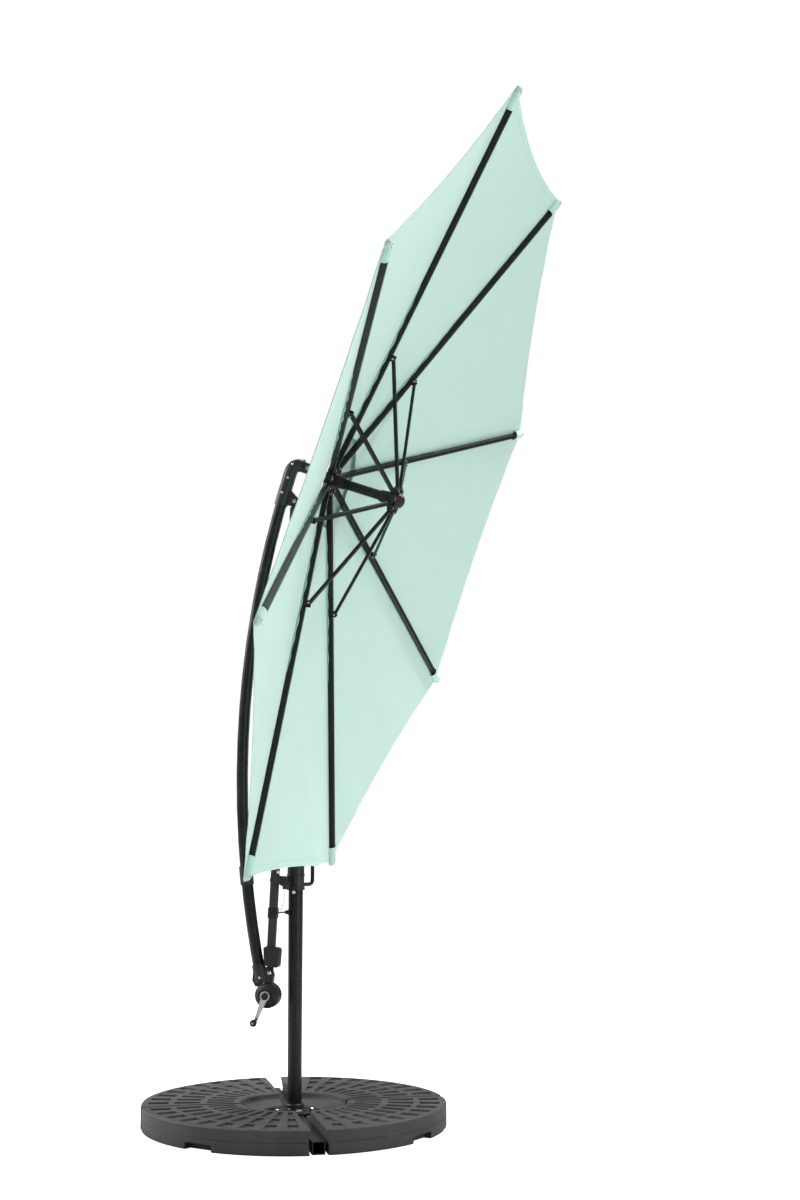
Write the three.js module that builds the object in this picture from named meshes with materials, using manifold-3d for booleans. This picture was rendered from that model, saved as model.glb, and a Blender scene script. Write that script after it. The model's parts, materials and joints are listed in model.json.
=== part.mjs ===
// Cantilever patio umbrella with a four-plate weighted base, millimetres, +Z up.
// The origin is on the ground under the mast. +X points from the mast towards the canopy.
// The arm hangs in the plane y = ARM_Y beside the mast, so that it can swing past it.

import * as THREE from 'three';
import { mergeVertices } from 'three/addons/utils/BufferGeometryUtils.js';
import Module from 'manifold-3d';

const wasm = await Module();
wasm.setup();

const deg = THREE.MathUtils.degToRad;
const GAP = 0.3;
const ROUND = 20;

// Base
const BASE_YAW = deg(24);
const PLATE_RADIUS = 500;
const PLATE_HEIGHT = 76;
const PLATE_INNER_RADIUS = 100;
const PLATE_EDGE = 6;
const DISH = [[0, 46], [100, 46], [172, 54], [178, 90], [0, 90]];
const LEG_GAP = 48;
const SEAM_GAP = 5;
const LEG_SIZE = 40;
const LEG_WALL = 3;
const LEG_LENGTH = 970;
const HAND_NOTCH = [60, 100, 22];
const FOOT_BOLT_RADIUS = 57;

// Mast and its head
const MAST_RADIUS = 24;
const MAST_BORE = 22;
const MAST_FOOT_Z = 46;
const MAST_TOP_Z = 1885;
const STOP_Z = 756;
const HEAD_BOTTOM_Z = 762.5;
const HEAD_TOP_Z = 925;
const HEAD_BORE = 25;
const HANDLE_TURN = deg(45);
const HANDLE_REACH = 64;
const HANDLE_ROD = 6.5;

// Arm: a bowed tube held like an archer's bow by a straight strut
const ARM_Y = -58;
const PIVOT = [-38, 797];
const BOW_FOOT = [-110, 522];
const BOW_TOP = [-29, 2103];
const BOW_RISE = 98;
const BOW_RADIUS = 19;
const BOW_BORE = 17;
const SOCKET_RADIUS = 22.5;
const STRUT_FOOT = [-70, 495];
const STRUT_TOP = [4, 2061];
const STRUT_HALF = [12.5, 10];
const STRUT_WALL = 1.5;
const WINCH = [-76, 423];
const WINCH_RADIUS = 42;
const CRANK_END = [-110, 338];

// Canopy, worked out upright and then turned onto the arm's end
const TILT_PIVOT = [52, 2170];
const HUB = [133, 2130];
const HUB_TURN = deg(-70.6);
const RIB_COUNT = 8;
const RIB_SLOPE = deg(13.26);
const FIRST_RIB = deg(-22.5);
const RING_RADIUS = 40;
const RIB_LENGTH = 1368;
const RIB_HALF_WIDTH = 7;
const RIB_HALF_DEPTH = 9;
const RIB_WALL = 1.2;
const JOINT_ALONG = 432.5;
const JOINT_BELOW = 16;
const STRETCHER_HALF_WIDTH = 6;
const STRETCHER_HALF_DEPTH = 5;
const TIP_RADIUS = 1378;
const TUBE_RADIUS = 16.5;
const FABRIC = 2;
const VENT_HOLE = 175;

const stretcherLength = Math.hypot(JOINT_ALONG, JOINT_BELOW);
const stretcherSlope = RIB_SLOPE + Math.atan2(JOINT_BELOW, JOINT_ALONG);
const jointRadius = RING_RADIUS + stretcherLength * Math.cos(stretcherSlope);
const jointZ = -stretcherLength * Math.sin(stretcherSlope);
const runnerZ = 2 * jointZ;

const coat = { color: 0x2a2b2d, roughness: 0.42, metalness: 0.55 };
const casting = { color: 0x343537, roughness: 0.55, metalness: 0.1 };
const resin = { color: 0x4a4a4b, roughness: 0.75, metalness: 0 };
const zinc = { color: 0xc9ccce, roughness: 0.3, metalness: 0.9 };
const nylon = { color: 0xe8e8e6, roughness: 0.4, metalness: 0 };
const cloth = { color: 0xbfe3d7, roughness: 0.9, metalness: 0 };

// ---- geometry helpers ----

// Welds a geometry to its bare positions and turns it the right way out.
function closed(geometry) {
  const bare = new THREE.BufferGeometry();
  bare.setAttribute('position', geometry.getAttribute('position'));
  bare.setIndex(geometry.getIndex());
  const welded = mergeVertices(bare, 1e-3);
  const p = welded.getAttribute('position');
  const index = welded.getIndex();
  const [a, b, c] = [new THREE.Vector3(), new THREE.Vector3(), new THREE.Vector3()];
  const kept = [];
  let volume = 0;
  for (let i = 0; i < index.count; i += 3) {
    const [i0, i1, i2] = [index.getX(i), index.getX(i + 1), index.getX(i + 2)];
    if (i0 === i1 || i1 === i2 || i2 === i0) continue;
    kept.push(i0, i1, i2);
    a.fromBufferAttribute(p, i0);
    b.fromBufferAttribute(p, i1);
    c.fromBufferAttribute(p, i2);
    volume += a.dot(b.cross(c));
  }
  welded.setIndex(volume < 0 ? kept.reverse() : kept);
  return welded;
}

function toManifold(shape) {
  if (!shape.isBufferGeometry) return shape;
  const geometry = closed(shape);
  return new wasm.Manifold(new wasm.Mesh({
    numProp: 3,
    vertProperties: new Float32Array(geometry.getAttribute('position').array),
    triVerts: new Uint32Array(geometry.getIndex().array),
  }));
}

function join(first, ...others) {
  return others.reduce((sum, other) => sum.add(toManifold(other)), toManifold(first));
}

function cut(first, ...others) {
  return others.reduce((rest, other) => rest.subtract(toManifold(other)), toManifold(first));
}

function toGeometry(shape) {
  if (shape.isBufferGeometry) return closed(shape);
  const { vertProperties, triVerts } = shape.getMesh();
  const geometry = new THREE.BufferGeometry();
  geometry.setAttribute('position', new THREE.BufferAttribute(vertProperties, 3));
  geometry.setIndex(new THREE.BufferAttribute(triVerts, 1));
  return geometry;
}

function piece(name, shape, look) {
  const geometry = toGeometry(shape);
  geometry.computeVertexNormals();
  const mesh = new THREE.Mesh(geometry, new THREE.MeshStandardMaterial(look));
  mesh.name = name;
  return mesh;
}

function box([x0, y0, z0], [x1, y1, z1]) {
  const geometry = new THREE.BoxGeometry(x1 - x0, y1 - y0, z1 - z0);
  return geometry.translate((x0 + x1) / 2, (y0 + y1) / 2, (z0 + z1) / 2);
}

// A body of revolution about Z from [radius, z] corners; a ring closes on its first corner.
function turned(corners, sides = ROUND) {
  const onAxis = corners[0][0] === 0 && corners.at(-1)[0] === 0;
  const loop = onAxis ? corners : [...corners, corners[0]];
  const profile = loop.map(([r, z]) => new THREE.Vector2(r, z));
  return new THREE.LatheGeometry(profile, sides).rotateX(Math.PI / 2);
}

// The same about Y, with the profile's heights counted along +Y.
function turnedAboutY(corners, sides = ROUND) {
  return turned(corners, sides).rotateX(-Math.PI / 2);
}

function rod(from, to, radius, sides = 16) {
  const [p, q] = [new THREE.Vector3(...from), new THREE.Vector3(...to)];
  const along = q.clone().sub(p);
  const geometry = new THREE.CylinderGeometry(radius, radius, along.length(), sides);
  const turn = new THREE.Quaternion().setFromUnitVectors(
    new THREE.Vector3(0, 1, 0), along.clone().normalize());
  const middle = p.add(q).multiplyScalar(0.5);
  return geometry.applyQuaternion(turn).translate(middle.x, middle.y, middle.z);
}

// An outline in the XZ plane, with its thickness from y0 to y1.
function slab(outline, y0, y1) {
  const isShape = outline instanceof THREE.Shape;
  const shape = isShape ? outline : new THREE.Shape(outline.map(([x, z]) => new THREE.Vector2(x, z)));
  const geometry = new THREE.ExtrudeGeometry(shape, {
    depth: y1 - y0, bevelEnabled: false, curveSegments: 4,
  });
  return geometry.rotateX(Math.PI / 2).translate(0, y1, 0);
}

function disc([x, z], radius, y0, y1, sides = 16) {
  return rod([x, y0, z], [x, y1, z], radius, sides);
}

// A flat link with round ends.
function link([x0, z0], [x1, z1], radius, y0, y1) {
  const turn = Math.atan2(z1 - z0, x1 - x0);
  const shape = new THREE.Shape();
  shape.absarc(x0, z0, radius, turn + Math.PI / 2, turn + 1.5 * Math.PI, false);
  shape.absarc(x1, z1, radius, turn - Math.PI / 2, turn + Math.PI / 2, false);
  return slab(shape, y0, y1);
}

function sweep(curve, radius, steps, bore = 0, sides = 16) {
  const shape = new THREE.Shape();
  shape.absarc(0, 0, radius, 0, 2 * Math.PI, false);
  if (bore > 0) {
    const hole = new THREE.Path();
    hole.absarc(0, 0, bore, 0, 2 * Math.PI, true);
    shape.holes.push(hole);
  }
  return new THREE.ExtrudeGeometry(shape, {
    steps, bevelEnabled: false, extrudePath: curve, curveSegments: sides / 2,
  });
}

// ---- base: four weights on two crossed legs, and the mast's foot ----

// One quarter plate; sideX and sideY are its quadrant's signs.
function baseWeight(sideX, sideY) {
  const [inner, outer] = [PLATE_INNER_RADIUS, PLATE_RADIUS];
  const outline = new THREE.Shape();
  outline.absarc(0, 0, outer, Math.asin(SEAM_GAP / 2 / outer), Math.acos(LEG_GAP / 2 / outer), false);
  outline.absarc(0, 0, inner, Math.acos(LEG_GAP / 2 / inner), Math.asin(SEAM_GAP / 2 / inner), true);
  const corners = outline.getPoints(9).map((p) => new THREE.Vector2(sideX * p.x, sideY * p.y));
  const plate = new THREE.ExtrudeGeometry(new THREE.Shape(corners), {
    depth: PLATE_HEIGHT - 2 * PLATE_EDGE,
    bevelThickness: PLATE_EDGE,
    bevelSize: PLATE_EDGE,
    bevelOffset: -PLATE_EDGE,
    bevelSegments: 1,
  }).translate(0, 0, PLATE_EDGE);
  const half = LEG_SIZE / 2 + 2;
  const legRoom = box([-outer - 10, -half, -10], [outer + 10, half, LEG_SIZE + 2]);
  const [deep, wide, high] = HAND_NOTCH;
  const notch = box([outer - deep / 2, -wide / 2, -10], [outer + deep / 2, wide / 2, high]);
  notch.rotateZ(Math.atan2(sideY, sideX));
  return cut(plate, legRoom, notch, turned(DISH, 48));
}

// A square tube along Y, half cut away where the other leg crosses it.
function leg(lapFrom, lapTo) {
  const [half, inner] = [LEG_SIZE / 2, LEG_SIZE / 2 - LEG_WALL];
  const square = (s) => [[-s, -s], [s, -s], [s, s], [-s, s]].map(([x, y]) => new THREE.Vector2(x, y));
  const section = new THREE.Shape(square(half));
  section.holes.push(new THREE.Path(square(inner)));
  const tube = new THREE.ExtrudeGeometry(section, { depth: LEG_LENGTH, bevelEnabled: false });
  tube.rotateX(-Math.PI / 2).translate(0, -LEG_LENGTH / 2, half);
  const lap = half + GAP;
  return cut(tube, box([-lap - 5, -lap, lapFrom], [lap + 5, lap, lapTo]));
}

function footBolt(x) {
  const head = turned([[0, 53], [5, 53], [8, 51], [8, 45.5], [0, 45.5]], 12);
  return join(head, rod([0, 0, 32], [0, 0, 46], 4, 12)).translate(x, 0, 0);
}

function makeBase() {
  const base = new THREE.Group();
  base.rotation.z = BASE_YAW;
  const quadrants = [[1, 1], [-1, 1], [-1, -1], [1, -1]];
  quadrants.forEach(([x, y], i) => base.add(piece(`base_weight_${i + 1}`, baseWeight(x, y), resin)));
  const middle = LEG_SIZE / 2;
  base.add(piece('leg_long', leg(middle - GAP / 2, 2 * LEG_SIZE), coat));
  const boltSides = [-FOOT_BOLT_RADIUS, FOOT_BOLT_RADIUS];
  const boltRooms = boltSides.map((x) => rod([x, 0, 34], [x, 0, 60], 4.6, 12));
  const cross = toGeometry(leg(-LEG_SIZE, middle + GAP / 2)).rotateZ(Math.PI / 2);
  base.add(piece('leg_cross', cut(cross, ...boltRooms), coat));
  const flange = turned([
    [MAST_RADIUS + 0.6, 40.3], [68, 40.3], [68, 45], [46, 45], [38, 48.5], [32, 53], [30, 58],
    [MAST_RADIUS + 0.6, 58],
  ]);
  base.add(piece('foot_flange', cut(flange, ...boltRooms), coat));
  base.add(piece('foot_spigot', turned([
    [0, 40.6], [23.9, 40.6], [23.9, 45.5], [21.6, 45.5], [21.6, 230], [17, 230], [17, 45.5], [0, 45.5],
  ]), zinc));
  boltSides.forEach((x, i) => base.add(piece(`foot_bolt_${i + 1}`, footBolt(x), zinc)));
  return base;
}

// ---- mast ----

function makeMast() {
  const mast = new THREE.Group();
  const tube = turned([
    [MAST_RADIUS, MAST_FOOT_Z], [MAST_RADIUS, MAST_TOP_Z], [MAST_BORE, MAST_TOP_Z], [MAST_BORE, MAST_FOOT_Z],
  ], 24);
  const stopRoom = rod([0, -40, STOP_Z], [0, -15, STOP_Z], 5, 12);
  mast.add(piece('mast', cut(tube, stopRoom), coat));
  mast.add(piece('mast_cap', turned([
    [0, MAST_TOP_Z + 14], [18, MAST_TOP_Z + 13], [24, MAST_TOP_Z + 8], [24, MAST_TOP_Z + GAP],
    [21.6, MAST_TOP_Z + GAP], [21.6, MAST_TOP_Z - 20], [0, MAST_TOP_Z - 20],
  ]), casting));
  mast.add(piece('mast_collar', turned([
    [24.3, 58.5], [31, 58.5], [31, 67], [28, 70], [24.3, 70],
  ]), casting));
  const button = turnedAboutY([
    [0, -28], [4, -28], [5.5, -27], [5.5, -24.4], [4.6, -24.4], [4.6, -21], [0, -21],
  ], 12);
  mast.add(piece('stop_button', button.translate(0, 0, STOP_Z), nylon));
  return mast;
}

// ---- sliding head: sleeve with a clevis, grip and pivot bolt ----

const LUG_INNER = 15;
const LUG_OUTER = 20;
const PIVOT_BORE = 4.3;

function slideSleeve() {
  const sleeve = turned([
    [HEAD_BORE, HEAD_BOTTOM_Z], [30, HEAD_BOTTOM_Z], [30, 771], [28, 772], [28, 808], [30, 809],
    [30, 814], [28, 815], [28, HEAD_TOP_Z], [HEAD_BORE, HEAD_TOP_Z],
  ], 24);
  const [px, pz] = PIVOT;
  const lug = new THREE.Shape();
  lug.absarc(px, pz, 12, Math.PI / 2, 1.5 * Math.PI, false);
  lug.lineTo(px + 30, pz - 29);
  lug.lineTo(px + 30, pz + 12);
  const lugs = [-1, 1].map((side) => {
    const faces = [side * LUG_INNER, side * LUG_OUTER].sort((a, b) => a - b);
    return slab(lug, ARM_Y + faces[0], ARM_Y + faces[1]);
  });
  const bridge = box([px + 14, ARM_Y - LUG_OUTER, pz - 29], [px + 30, -25, pz - 4]);
  const bore = rod([0, 0, HEAD_BOTTOM_Z - 10], [0, 0, HEAD_TOP_Z + 10], HEAD_BORE, 24);
  const pinRoom = disc(PIVOT, PIVOT_BORE, ARM_Y - 30, ARM_Y + 30, 16);
  return cut(join(sleeve, ...lugs, bridge), bore, pinRoom);
}

function gripHandle() {
  const [low, high, corner] = [779, 897, 14];
  const path = new THREE.CurvePath();
  const p = (x, z) => new THREE.Vector3(x, 0, z);
  const near = 28.6;
  path.add(new THREE.LineCurve3(p(near, low), p(HANDLE_REACH - corner, low)));
  path.add(new THREE.QuadraticBezierCurve3(
    p(HANDLE_REACH - corner, low), p(HANDLE_REACH, low), p(HANDLE_REACH, low + corner)));
  path.add(new THREE.LineCurve3(p(HANDLE_REACH, low + corner), p(HANDLE_REACH, high - corner)));
  path.add(new THREE.QuadraticBezierCurve3(
    p(HANDLE_REACH, high - corner), p(HANDLE_REACH, high), p(HANDLE_REACH - corner, high)));
  path.add(new THREE.LineCurve3(p(HANDLE_REACH - corner, high), p(near, high)));
  return sweep(path, HANDLE_ROD, 26, 0, 8).rotateZ(HANDLE_TURN);
}

function makeHead() {
  const head = new THREE.Group();
  head.add(piece('slide_sleeve', slideSleeve(), casting));
  head.add(piece('grip_handle', gripHandle(), coat));
  const bolt = turnedAboutY([
    [0, -28], [7, -28], [10.5, -26], [10.5, -20.4], [3.9, -20.4], [3.9, 30], [0, 30],
  ], 16).translate(PIVOT[0], ARM_Y, PIVOT[1]);
  head.add(piece('pivot_bolt', bolt, casting));
  const nut = turnedAboutY([[4.8, 20.4], [9, 20.4], [9, 27], [4.8, 27]], 6);
  head.add(piece('pivot_nut', nut.translate(PIVOT[0], ARM_Y, PIVOT[1]), zinc));
  return head;
}

// ---- arm ----

// The bow's centre line: an arc from BOW_FOOT (t = 0) to BOW_TOP (t = 1), bulging to -X.
class BowCurve extends THREE.Curve {
  constructor(from, to) {
    super();
    this.from = from;
    this.to = to;
    const [foot, top] = [new THREE.Vector2(...BOW_FOOT), new THREE.Vector2(...BOW_TOP)];
    const chord = top.clone().sub(foot);
    const half = chord.length() / 2;
    this.radius = (half * half + BOW_RISE * BOW_RISE) / (2 * BOW_RISE);
    const inward = new THREE.Vector2(chord.y, -chord.x).normalize();
    this.centre = foot.add(top).multiplyScalar(0.5).addScaledVector(inward, this.radius - BOW_RISE);
    this.middle = Math.atan2(-inward.y, -inward.x);
    this.halfAngle = Math.asin(half / this.radius);
  }

  getPoint(t, target = new THREE.Vector3()) {
    const at = this.from + (this.to - this.from) * t;
    const angle = this.middle + this.halfAngle * (1 - 2 * at);
    return target.set(
      this.centre.x + this.radius * Math.cos(angle), 0, this.centre.y + this.radius * Math.sin(angle));
  }
}

const bow = (from, to, radius, steps, bore = 0) => sweep(new BowCurve(from, to), radius, steps, bore);
const SOCKET_BORE = BOW_RADIUS + 1;
const BOW_SPLIT = 0.183;
const BOW_START = -0.025;
const BOW_END = 1.022;

function elbow() {
  const start = new BowCurve(1.012, 1.03).getPoint(0);
  const lead = new BowCurve(1.012, 1.03).getTangent(0).multiplyScalar(45).add(start);
  const bend = new THREE.CubicBezierCurve3(
    start, lead, new THREE.Vector3(-10, 0, 2192), new THREE.Vector3(34, 0, 2181));
  const body = sweep(bend, SOCKET_RADIUS, 9);
  const [tx, tz] = TILT_PIVOT;
  const nose = link([16, 2183], TILT_PIVOT, 17, -17, 17);
  const slot = link([tx - 4, tz], [tx + 60, tz - 20], 23, -8.4, 8.4);
  const pinRoom = disc(TILT_PIVOT, PIVOT_BORE, -30, 30, 16);
  return cut(join(body, nose), slot, pinRoom, bow(0.99, 1.025, SOCKET_BORE, 4));
}

function sleeveBracket() {
  const sleeve = bow(0.965, 1.0105, SOCKET_RADIUS, 4);
  const ear = slab([[-42, 2112], [-14, 2106], [16, 2070], [14, 2050], [-2, 2046], [-48, 2052]], -10, 10);
  const slot = box([-14, -4.8, 2020], [30, 4.8, 2078]);
  const pinRoom = disc(STRUT_TOP, PIVOT_BORE, -20, 20, 12);
  return cut(join(sleeve, ear), bow(0.95, 1.03, SOCKET_BORE, 6), slot, pinRoom);
}

const strutAt = (t) => STRUT_FOOT.map((foot, i) => foot + (STRUT_TOP[i] - foot) * t);
const strutLength = Math.hypot(STRUT_TOP[0] - STRUT_FOOT[0], STRUT_TOP[1] - STRUT_FOOT[1]);

// A flat bar along the strut's line, with its section grown by so much on every side.
function strutBar(from, to, grow) {
  const [[ax, az], [bx, bz]] = [strutAt(from), strutAt(to)];
  const side = new THREE.Vector2(bz - az, ax - bx).setLength(STRUT_HALF[0] + grow);
  const corners = [
    [ax - side.x, az - side.y], [ax + side.x, az + side.y],
    [bx + side.x, bz + side.y], [bx - side.x, bz - side.y],
  ];
  return slab(corners, -STRUT_HALF[1] - grow, STRUT_HALF[1] + grow);
}

function strut() {
  const [start, end] = [22 / strutLength, 1 - 22 / strutLength];
  const atPivot = (PIVOT[1] - STRUT_FOOT[1]) / (STRUT_TOP[1] - STRUT_FOOT[1]);
  const saddle = link(strutAt(atPivot), PIVOT, 14, -14, 14);
  const nose = link(PIVOT, [PIVOT[0] - 1, PIVOT[1]], 11, -14, 14);
  const rounded = cut(saddle, box([PIVOT[0] - 1, -20, PIVOT[1] - 20], [PIVOT[0] + 20, 20, PIVOT[1] + 20]));
  const solid = join(strutBar(start, end, 0), rounded, nose);
  const hollow = cut(solid, strutBar(start - 0.01, end + 0.01, -STRUT_WALL));
  const footLug = link(STRUT_FOOT, strutAt(3 * start), 11, -4, 4);
  const topLug = link(strutAt(1 - 3 * start), STRUT_TOP, 11, -4, 4);
  const pins = [STRUT_FOOT, STRUT_TOP].map((at) => disc(at, PIVOT_BORE, -20, 20, 12));
  return cut(join(hollow, footLug, topLug), ...pins, disc(PIVOT, PIVOT_BORE, -20, 20, 16));
}

function crossBolt([x, z], half) {
  return turnedAboutY([
    [0, -half - 4], [5, -half - 4], [7, -half - 2], [7, -half - GAP], [3.9, -half - GAP],
    [3.9, half + 3], [0, half + 3],
  ], 16).translate(x, 0, z);
}

function lowerBracket() {
  const sleeve = bow(-0.035, 0, SOCKET_RADIUS, 3);
  const plate = slab([
    [-128, 470], [-124, 512], [-90, 514], [-62, 506], [-56, 490], [-58, 462], [-92, 446], [-118, 452],
  ], -11, 11);
  const slot = box([-84, -4.8, 481], [-50, 4.8, 540]);
  const winchRoom = disc(WINCH, WINCH_RADIUS + 2 * GAP, -40, 40, 24);
  const pinRoom = disc(STRUT_FOOT, PIVOT_BORE, -20, 20, 12);
  return cut(join(sleeve, plate), bow(BOW_START - 0.001, 0.01, SOCKET_BORE, 4), slot, winchRoom, pinRoom);
}

function gripCollar() {
  const block = slab([
    [-88, 577], [-80, 582], [-40, 576], [-35, 570], [-39, 518], [-44, 513], [-86, 521],
  ], -20, 20);
  return cut(block, strutBar(0, 0.1, GAP));
}

// Distance out from the strut towards the mast's axis, in the arm's own coordinates.
function towardsMast(distance, z) {
  const [x] = strutAt((z - STRUT_FOOT[1]) / (STRUT_TOP[1] - STRUT_FOOT[1]));
  const out = new THREE.Vector2(-x, -ARM_Y).setLength(distance);
  return [x + out.x, out.y, z];
}

const BUMPER_Z = 690;

function bumperClip() {
  const t = (z) => (z - STRUT_FOOT[1]) / (STRUT_TOP[1] - STRUT_FOOT[1]);
  const ring = strutBar(t(BUMPER_Z - 17), t(BUMPER_Z + 17), 2.5);
  const pin = rod(towardsMast(10, BUMPER_Z), towardsMast(44, BUMPER_Z), 2.5, 10);
  return cut(join(ring, pin), strutBar(t(BUMPER_Z - 30), t(BUMPER_Z + 30), GAP));
}

function bumperPad() {
  const pad = new THREE.CylinderGeometry(9, 5, 14, 16);
  const [from, to] = [towardsMast(44.3, BUMPER_Z), towardsMast(58.3, BUMPER_Z)].map(
    (p) => new THREE.Vector3(...p));
  const along = to.clone().sub(from).normalize();
  pad.applyQuaternion(new THREE.Quaternion().setFromUnitVectors(new THREE.Vector3(0, 1, 0), along));
  return pad.translate((from.x + to.x) / 2, (from.y + to.y) / 2, BUMPER_Z);
}

function makeWinch() {
  const winch = new THREE.Group();
  winch.position.set(WINCH[0], 0, WINCH[1]);
  const r = WINCH_RADIUS;
  winch.add(piece('winch_housing', turnedAboutY([
    [6.8, -27], [28, -27], [38, -22], [r, -14], [r, 18], [r - 3, 18], [r - 3, -13], [35, -19.5],
    [26, -24], [6.8, -24],
  ], 24), casting));
  winch.add(piece('winch_cover', turnedAboutY([
    [0, 22], [34, 22], [r - 1, 20], [r - 1, 18.3], [0, 18.3],
  ], 24), casting));
  winch.add(piece('winch_drum', turnedAboutY([
    [0, -40], [6, -40], [6, -18], [30, -18], [30, -15], [14, -15], [14, 9], [30, 9], [30, 12], [0, 12],
  ]), zinc));
  const end = [CRANK_END[0] - WINCH[0], CRANK_END[1] - WINCH[1]];
  const side = new THREE.Vector2(-end[1], end[0]).normalize();
  const taper = [[0, 0, 11], [0, 0, -11], [...end, -5], [...end, 5]].map(
    ([x, z, half]) => [x + half * side.x, z + half * side.y]);
  const handle = join(
    disc([0, 0], 16, -41, -31, 20), slab(taper, -38, -33),
    disc(end, 7, -38, -33), disc(end, 3, -66, -34, 12));
  winch.add(piece('crank_arm', cut(handle, disc([0, 0], 6.3, -60, -20, 16)), zinc));
  const cap = turnedAboutY([[0, -46], [8, -46], [12, -44], [12, -41.3], [0, -41.3]], 16);
  winch.add(piece('crank_cap', cap, casting));
  const knob = turnedAboutY([
    [3.3, -64], [8, -64], [11.5, -59], [12, -53], [10, -45], [7, -39], [3.3, -39],
  ], 16);
  winch.add(piece('crank_knob', knob.translate(end[0], 0, end[1]), casting));
  return winch;
}

function makeArm() {
  const arm = new THREE.Group();
  arm.position.y = ARM_Y;
  arm.add(piece('arm_lower_tube', bow(BOW_START, BOW_SPLIT - 0.0002, BOW_RADIUS, 4, BOW_BORE), coat));
  arm.add(piece('arm_upper_tube', bow(BOW_SPLIT + 0.0002, BOW_END, BOW_RADIUS, 12, BOW_BORE), coat));
  arm.add(piece('arm_joint_collar', bow(0.164, 0.202, SOCKET_RADIUS, 2, SOCKET_BORE), casting));
  arm.add(piece('elbow', elbow(), casting));
  arm.add(piece('sleeve_bracket', sleeveBracket(), casting));
  arm.add(piece('strut', strut(), coat));
  arm.add(piece('strut_top_bolt', crossBolt(STRUT_TOP, 10), zinc));
  arm.add(piece('strut_foot_bolt', crossBolt(STRUT_FOOT, 11), zinc));
  arm.add(piece('lower_bracket', lowerBracket(), casting));
  arm.add(piece('strut_collar', gripCollar(), casting));
  arm.add(piece('bumper_clip', bumperClip(), coat));
  arm.add(piece('bumper_pad', bumperPad(), casting));
  arm.add(piece('tilt_bolt', crossBolt(TILT_PIVOT, 17), zinc));
  arm.add(makeWinch());
  return arm;
}

// ---- canopy ----

const around = (count, make) => Array.from({ length: count }, (_, i) => make(i));
const ribAngle = (i) => FIRST_RIB + (i * 2 * Math.PI) / RIB_COUNT;

function slots(halfWidth, z0, z1) {
  return around(RIB_COUNT, (i) => box([29.5, -halfWidth, z0], [70, halfWidth, z1]).rotateZ(ribAngle(i)));
}

function crownHub() {
  const plate = turned([[0, -14], [48, -14], [52, -10], [52, 10], [48, 14], [0, 14]], 24);
  const collar = rod([0, 0, -46], [0, 0, -10], 20, 20);
  const bore = rod([0, 0, -80], [0, 0, -8], TUBE_RADIUS + 0.6, 20);
  return cut(join(plate, collar), ...slots(RIB_HALF_WIDTH + 0.6, -30, 30), bore);
}

// The tilt pivot in the upright canopy's own coordinates.
const tiltAt = new THREE.Vector3(TILT_PIVOT[0] - HUB[0], 0, TILT_PIVOT[1] - HUB[1])
  .applyAxisAngle(new THREE.Vector3(0, 1, 0), -HUB_TURN);

function crownNeck() {
  const foot = turned([[0, 14.3], [30, 14.3], [30, 18], [20, 24], [0, 24]]);
  const web = slab([[-16, 20], [18, 20], [tiltAt.x + 13, tiltAt.z], [tiltAt.x - 13, tiltAt.z]], -8, 8);
  const knuckle = disc([tiltAt.x, tiltAt.z], 14, -8, 8);
  return cut(join(foot, web, knuckle), disc([tiltAt.x, tiltAt.z], PIVOT_BORE, -20, 20, 16));
}

function runnerHub() {
  const z = runnerZ;
  const body = turned([
    [0, z - 32], [10, z - 32], [20, z - 26], [27, z - 12], [48, z - 11], [50, z - 8], [50, z + 8],
    [46, z + 11], [23, z + 12], [20, z + 52], [0, z + 52],
  ], 24);
  const bore = rod([0, 0, z + 10], [0, 0, z + 60], TUBE_RADIUS + GAP, 20);
  return cut(body, ...slots(STRETCHER_HALF_WIDTH + 0.6, z - 20, z + 30), bore);
}

function rib() {
  const [w, d] = [RIB_HALF_WIDTH, RIB_HALF_DEPTH];
  const outline = (shrink) => [[-w, -d], [w, -d], [w, d], [-w, d]].map(
    ([y, z]) => new THREE.Vector2(y - Math.sign(y) * shrink, z - Math.sign(z) * shrink));
  const section = new THREE.Shape(outline(0));
  section.holes.push(new THREE.Path(outline(RIB_WALL)));
  const tube = new THREE.ExtrudeGeometry(section, { depth: RIB_LENGTH - 2, bevelEnabled: false });
  tube.rotateX(Math.PI / 2).rotateZ(Math.PI / 2).translate(2, 0, 0);
  const eye = rod([0, -w, 0], [0, w, 0], d, 12);
  const cheeks = [-8.6, 6.4].map((y) => box([JOINT_ALONG - 9, y, -22], [JOINT_ALONG + 9, y + 2.2, -4]));
  const pin = rod([JOINT_ALONG, -7, -JOINT_BELOW], [JOINT_ALONG, 7, -JOINT_BELOW], 2, 8);
  return join(tube, eye, ...cheeks, pin);
}

function stretcher() {
  const half = STRETCHER_HALF_WIDTH;
  const bar = link([0, 0], [stretcherLength, 0], STRETCHER_HALF_DEPTH, -half, half);
  const channel = box([14, -4.6, -6], [stretcherLength - 14, 4.6, 3.4]);
  return cut(bar, channel, rod([0, -10, 0], [0, 10, 0], 2.5, 8));
}

const BULGE = 76;
const BULGE_FROM = 930;
const HEM_CURVE = 0.03;

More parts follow.
